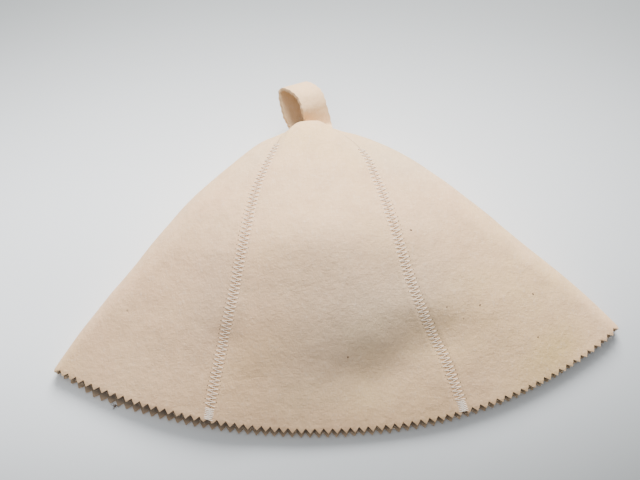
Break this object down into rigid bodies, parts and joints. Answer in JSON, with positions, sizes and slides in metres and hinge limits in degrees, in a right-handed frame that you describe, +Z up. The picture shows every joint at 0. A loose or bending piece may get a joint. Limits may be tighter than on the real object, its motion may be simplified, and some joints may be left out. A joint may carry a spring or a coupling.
{
  "type": "sauna hat",
  "caption": "Cone-shaped felt sauna hat sewn from gores, with a pinked hem and a hanging loop, lying flat on its back.",
  "frame": {"origin": "bottom centre of the lying hat's box, on the surface that it rests on", "axes": "+Z up from the back that it lies on, +Y towards the tip and its loop, +X towards the right side fold"},
  "size_m": [0.3475, 0.2245, 0.0566],
  "materials": {
    "felt": "matt cream wool felt, slightly mottled and fuzzy",
    "loop_felt": "matt cream wool felt with pinked edges",
    "thread": "off-white polyester sewing thread, slightly glossy"
  },
  "bodies": {
    "root": {"gore_front": "felt", "gore_right": "felt", "gore_back_right": "felt", "gore_back_left": "felt", "gore_left": "felt", "hanging_loop": "loop_felt"}
  },
  "joints": []
}
